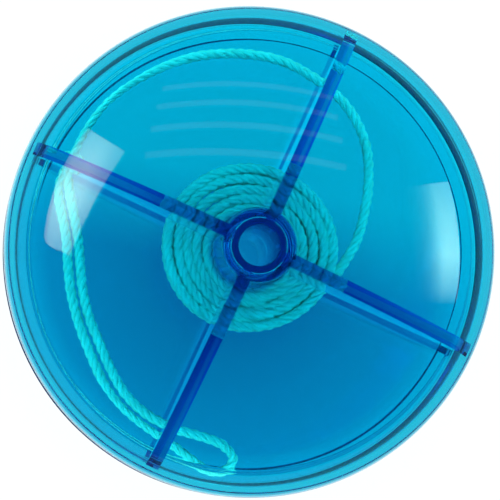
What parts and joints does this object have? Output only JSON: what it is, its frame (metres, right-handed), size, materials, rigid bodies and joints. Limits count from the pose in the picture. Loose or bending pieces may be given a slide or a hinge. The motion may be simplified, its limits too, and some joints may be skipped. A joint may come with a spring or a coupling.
{
  "type": "yo-yo",
  "caption": "Translucent blue hollow plastic yo-yo with domed ribbed halves, a tube axle and a cotton string wound in its gap.",
  "frame": {"origin": "middle of the rear crown's flat spot, on which the yo-yo lies", "axes": "+Z along the axle from the rear half to the front half; +X and +Y along the ribs"},
  "size_m": [0.057, 0.057, 0.031],
  "materials": {
    "clear_blue": "glossy translucent blue moulded plastic",
    "cotton": "twisted white cotton string"
  },
  "bodies": {
    "shells": {"front_cap": "clear_blue", "rear_cap": "clear_blue", "front_disc": "clear_blue", "rear_disc": "clear_blue", "axle_tube": "clear_blue"},
    "string": {"axle_loop": "cotton", "string_coil": "cotton", "string_tail": "cotton", "finger_loop": "cotton", "slip_knot": "cotton"}
  },
  "joints": [
    {"name": "string_slip", "type": "hinge", "parent": "shells", "child": "string", "pos_m": [0, 0, 0.0155], "axis": [0, 0, 1], "continuous": true}
  ]
}
